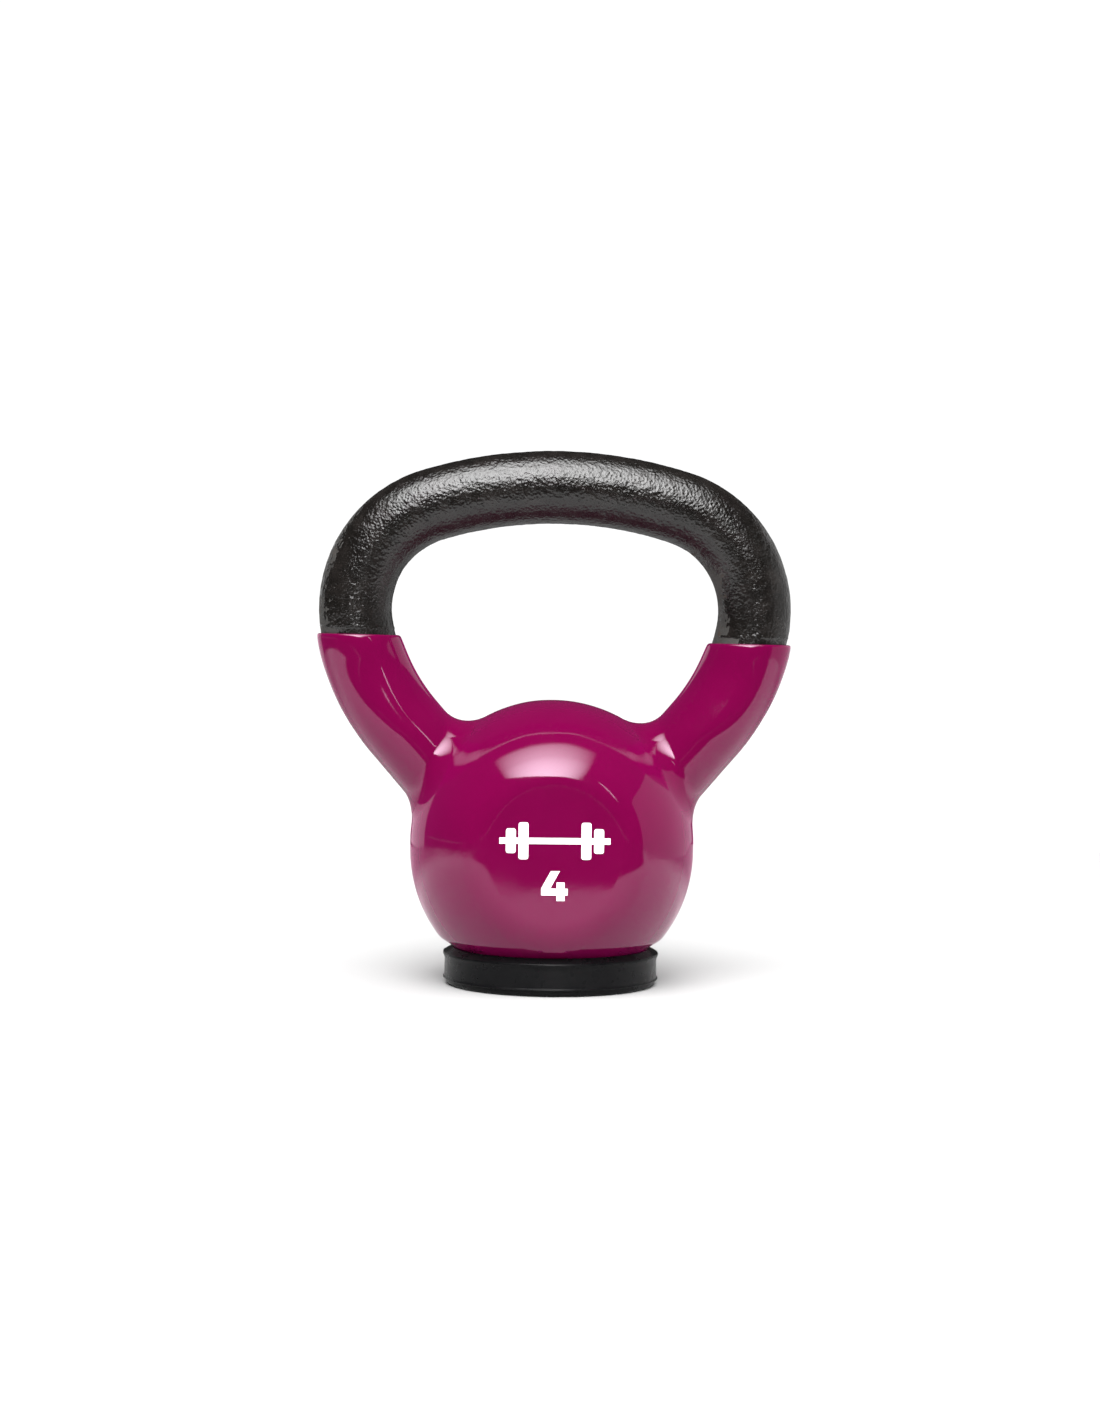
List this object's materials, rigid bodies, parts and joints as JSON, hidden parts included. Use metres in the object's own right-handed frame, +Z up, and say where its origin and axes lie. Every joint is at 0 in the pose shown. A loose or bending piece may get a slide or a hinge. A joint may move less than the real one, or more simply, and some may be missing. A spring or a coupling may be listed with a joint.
{
  "type": "kettlebell",
  "caption": "Vinyl-dipped cast-iron kettlebell with a black enamelled round-bar handle, a printed flat facet and a moulded rubber foot cup.",
  "frame": {"origin": "centre of the rubber foot's underside, on the floor the kettlebell stands on", "axes": "+Z up through the handle, +X along the grip towards the lower of the two vinyl cuffs, -Y out of the printed front facet"},
  "size_m": [0.1611, 0.0809, 0.1805],
  "materials": {
    "iron": "matte",
    "black_enamel": "satin",
    "raspberry_vinyl": "gloss",
    "adhesive": "satin",
    "black_rubber": "matte",
    "white_ink": "satin"
  },
  "bodies": {
    "root": {"iron_core": "iron", "handle_enamel": "black_enamel", "vinyl_jacket": "raspberry_vinyl", "foot_adhesive": "adhesive", "rubber_foot": "black_rubber", "weight_numeral": "white_ink", "printed_mark": "white_ink"}
  },
  "joints": []
}
